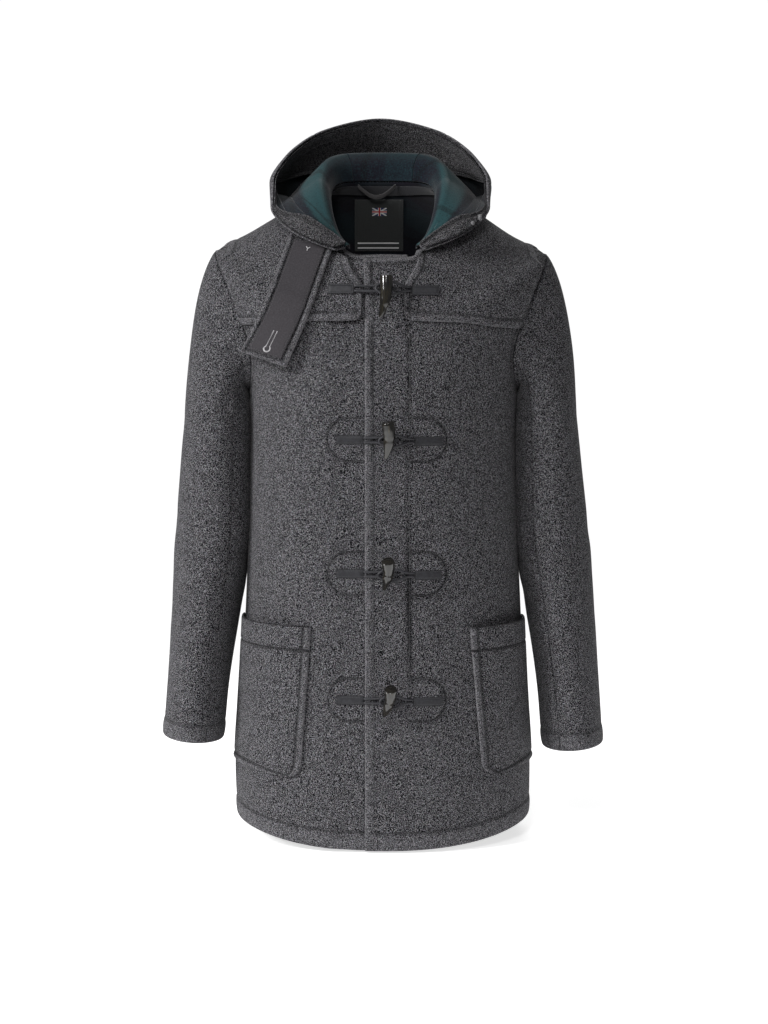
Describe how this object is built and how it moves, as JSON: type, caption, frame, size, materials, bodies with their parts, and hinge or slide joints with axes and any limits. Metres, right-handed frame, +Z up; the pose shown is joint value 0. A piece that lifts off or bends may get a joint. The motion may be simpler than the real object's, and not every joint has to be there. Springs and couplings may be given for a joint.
{
  "type": "duffle coat",
  "caption": "Hooded duffle coat in heavy grey wool, filled out as worn, with a shoulder yoke, throat tab, patch pockets and horn toggles on leather loops.",
  "frame": {"origin": "where the wearer's shoulders carry the coat: midway between the two points where the neck seam crosses the shoulder line", "axes": "+Z up, the front faces -Y, the wearer's left side is at +X"},
  "size_m": [0.608, 0.3727, 0.9841],
  "materials": {
    "wool": "heavy charcoal melange wool with a soft nap, a dark blue-green check on its inner face",
    "tape": "matt dark tape",
    "label": "woven label",
    "tab_lining": "plain dark lining cloth",
    "leather": "smooth dark leather",
    "cord": "round leather cord",
    "horn": "polished dark horn with pale streaks"
  },
  "bodies": {
    "root": {"front_left": "wool", "front_right": "wool", "back": "wool", "sleeve_under_left": "wool", "sleeve_upper_left": "wool", "sleeve_under_right": "wool", "sleeve_upper_right": "wool", "yoke": "wool", "hood_left": "wool", "hood_middle": "wool", "hood_right": "wool", "hood_facing": "wool", "throat_tab": "wool", "throat_tab_lining": "tab_lining", "pocket_left": "wool", "pocket_right": "wool", "strap_right_1": "leather", "strap_left_1": "leather", "toggle_1": "horn", "cord_right_1": "cord", "cord_left_1": "cord", "strap_right_2": "leather", "strap_left_2": "leather", "toggle_2": "horn", "cord_right_2": "cord", "cord_left_2": "cord", "strap_right_3": "leather", "strap_left_3": "leather", "toggle_3": "horn", "cord_right_3": "cord", "cord_left_3": "cord", "strap_right_4": "leather", "strap_left_4": "leather", "toggle_4": "horn", "cord_right_4": "cord", "cord_left_4": "cord", "neck_tape": "tape", "label": "label", "hanging_loop": "tape"}
  },
  "joints": []
}
